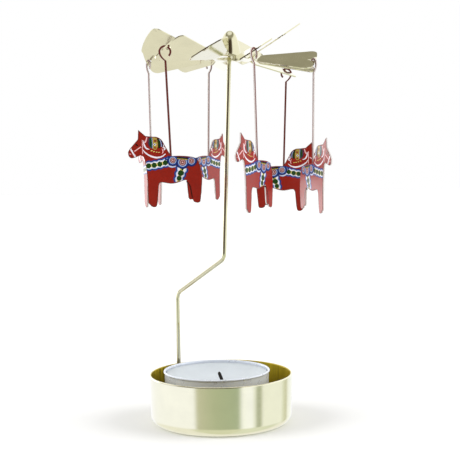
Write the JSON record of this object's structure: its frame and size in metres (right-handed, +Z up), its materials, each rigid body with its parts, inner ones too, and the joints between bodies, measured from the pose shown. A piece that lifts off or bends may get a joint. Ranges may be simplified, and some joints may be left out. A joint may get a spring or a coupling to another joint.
{
  "type": "rotating candle holder",
  "caption": "Candle holder with a brass tealight cup, a bent wire post and a sheet wheel that balances on its point and turns in warm air, carrying painted hanging horses.",
  "frame": {"origin": "middle of the cup's flat underside, on the surface that it stands on", "axes": "+Z up, square to the cup's floor; +Y away from the picture's camera; +X to the right in the picture"},
  "size_m": [0.0691, 0.0805, 0.1395],
  "materials": {
    "satin_brass": "brass plate, brushed round the wall",
    "polished_brass": "brass plate, mirror polished",
    "red_lacquer": "gloss red lacquer with printed folk ornament",
    "aluminium_foil": "bright, drawn and finely pleated",
    "wax": "smooth paraffin wax",
    "cotton_wick": "blackened cotton",
    "tinplate": "dull"
  },
  "bodies": {
    "base": {"candle_cup": "satin_brass", "post": "polished_brass", "post_socket": "satin_brass"},
    "rotor": {"rotor": "polished_brass"},
    "charm_1": {"horse_charm_1": "red_lacquer"},
    "charm_2": {"horse_charm_2": "red_lacquer"},
    "charm_3": {"horse_charm_3": "red_lacquer"},
    "charm_4": {"horse_charm_4": "red_lacquer"},
    "charm_5": {"horse_charm_5": "red_lacquer"},
    "charm_6": {"horse_charm_6": "red_lacquer"},
    "tealight": {"tealight_cup": "aluminium_foil", "tealight_wax": "wax", "tealight_wick": "cotton_wick", "wick_clip": "tinplate"}
  },
  "joints": [
    {"name": "rotor_spin", "type": "hinge", "parent": "base", "child": "rotor", "pos_m": [0.005, 0, 0.1376], "axis": [0.0401, 0, 0.9992], "continuous": true},
    {"name": "charm_1_swing", "type": "hinge", "parent": "rotor", "child": "charm_1", "pos_m": [-0.01713, -0.02088, 0.1287], "axis": [0, 1, 0], "range_deg": [-20, 20]},
    {"name": "charm_2_swing", "type": "hinge", "parent": "rotor", "child": "charm_2", "pos_m": [0.01179, -0.02931, 0.12677], "axis": [-0.848, 0.5299, 0], "range_deg": [-20, 20]},
    {"name": "charm_3_swing", "type": "hinge", "parent": "rotor", "child": "charm_3", "pos_m": [0.03343, -0.00849, 0.12537], "axis": [-0.9397, -0.342, 0], "range_deg": [-20, 20]},
    {"name": "charm_4_swing", "type": "hinge", "parent": "rotor", "child": "charm_4", "pos_m": [0.02635, 0.02087, 0.12506], "axis": [0, -1, 0], "range_deg": [-20, 20]},
    {"name": "charm_5_swing", "type": "hinge", "parent": "rotor", "child": "charm_5", "pos_m": [-0.00242, 0.02924, 0.12942], "axis": [0.848, -0.5299, 0], "range_deg": [-20, 20]},
    {"name": "charm_6_swing", "type": "hinge", "parent": "rotor", "child": "charm_6", "pos_m": [-0.02424, 0.00849, 0.12752], "axis": [0.9272, 0.3746, 0], "range_deg": [-20, 20]},
    {"name": "tealight_lift", "type": "slide", "parent": "base", "child": "tealight", "axis": [0, 0, 1], "range_m": [0, 0.02]}
  ]
}
